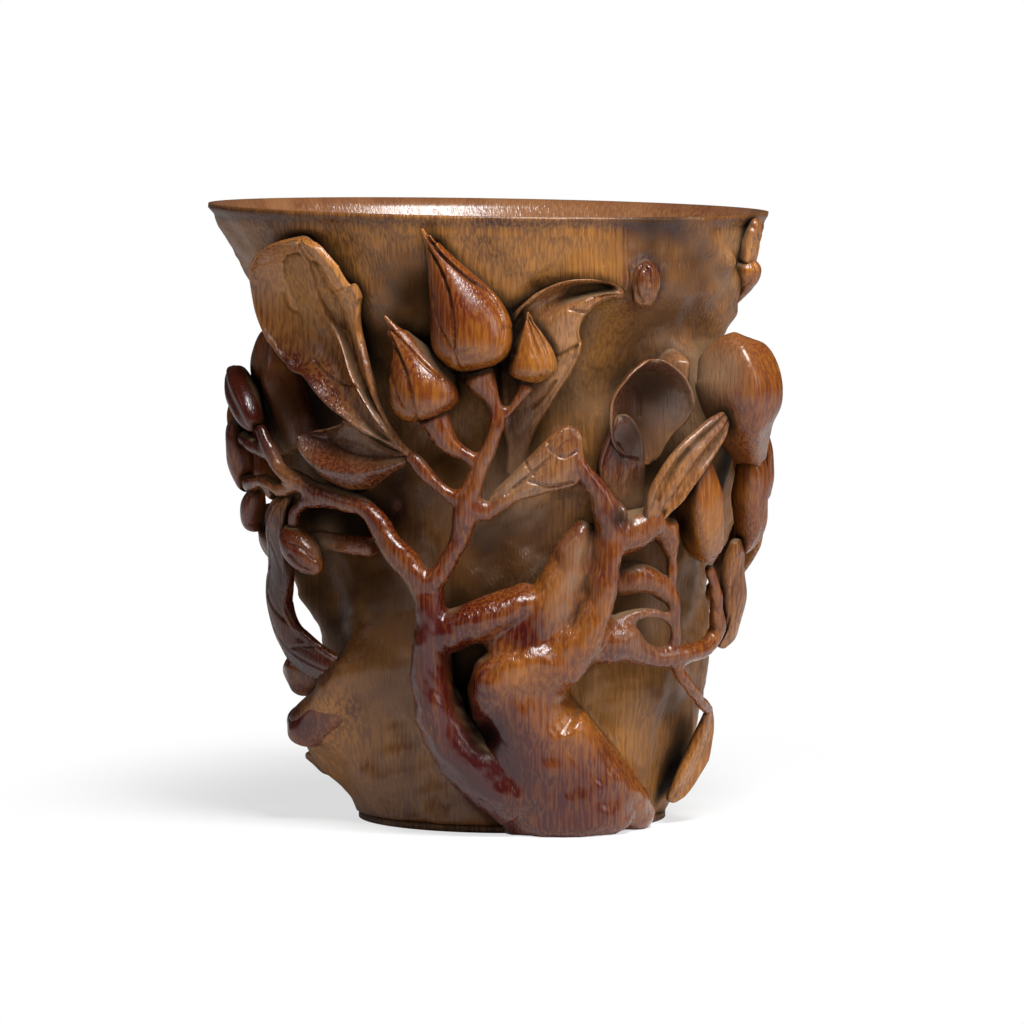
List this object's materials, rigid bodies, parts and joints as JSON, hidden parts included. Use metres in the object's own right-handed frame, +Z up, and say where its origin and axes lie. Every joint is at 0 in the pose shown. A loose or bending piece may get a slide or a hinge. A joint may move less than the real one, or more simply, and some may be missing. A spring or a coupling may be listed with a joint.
{
  "type": "bamboo libation cup",
  "caption": "Flared wooden cup with a pierced relief of a gnarled trunk, twigs, cupped leaves, buds and open blossoms round it, on a flat foot.",
  "frame": {"origin": "middle of the flat foot, on the surface that the cup stands on", "axes": "+Z up through the mouth; the main view looks along +Y at the trunk, with the rim's pointed tip at -X"},
  "size_m": [0.1136, 0.0937, 0.1229],
  "materials": {
    "ground": "satin",
    "branch": "polished",
    "leaf": "polished",
    "bud": "polished",
    "plate": "satin"
  },
  "bodies": {
    "root": {"base_plate": "plate", "cup_wall": "ground", "main_trunk": "branch", "cut_stub": "branch", "left_stem": "branch", "cross_branch": "branch", "left_arm": "branch", "hook_twig": "branch", "side_twig": "branch", "low_twig": "branch", "centre_twig": "branch", "small_bud_twig": "branch", "middle_bud_twig": "branch", "leaf_twig": "branch", "right_arm": "branch", "lattice_branch": "branch", "lattice_upright": "branch", "lattice_arch": "branch", "lattice_loop": "branch", "foot_twig": "branch", "rim_knot": "branch", "foot_stub": "branch", "foot_knot": "branch", "foot_spur": "branch", "large_leaf": "leaf", "under_leaf": "leaf", "relief_leaf": "leaf", "fork_leaf": "leaf", "hood_leaf": "leaf", "hood_leaf_low": "leaf", "hood_tip": "leaf", "furled_leaf": "leaf", "hanging_leaf_left": "leaf", "hanging_leaf_right": "leaf", "foot_leaf": "leaf", "large_bud": "bud", "middle_bud": "bud", "small_bud": "bud", "hook_bud": "bud", "rim_bud": "bud", "rim_petal": "leaf", "left_petal_top": "bud", "left_petal_middle": "bud", "left_petal_low": "bud", "left_petal_inner": "bud", "left_petal_upright": "bud", "left_petal_back": "bud", "right_petal_top": "bud", "right_petal_outer": "bud", "right_petal_tip": "bud", "right_petal_inner": "bud", "right_petal_back": "bud", "back_stem": "branch", "back_twig": "branch", "back_side_twig": "branch", "back_leaf_upper": "leaf", "back_leaf_side": "leaf", "back_leaf_low": "leaf", "back_bud": "bud"}
  },
  "joints": []
}
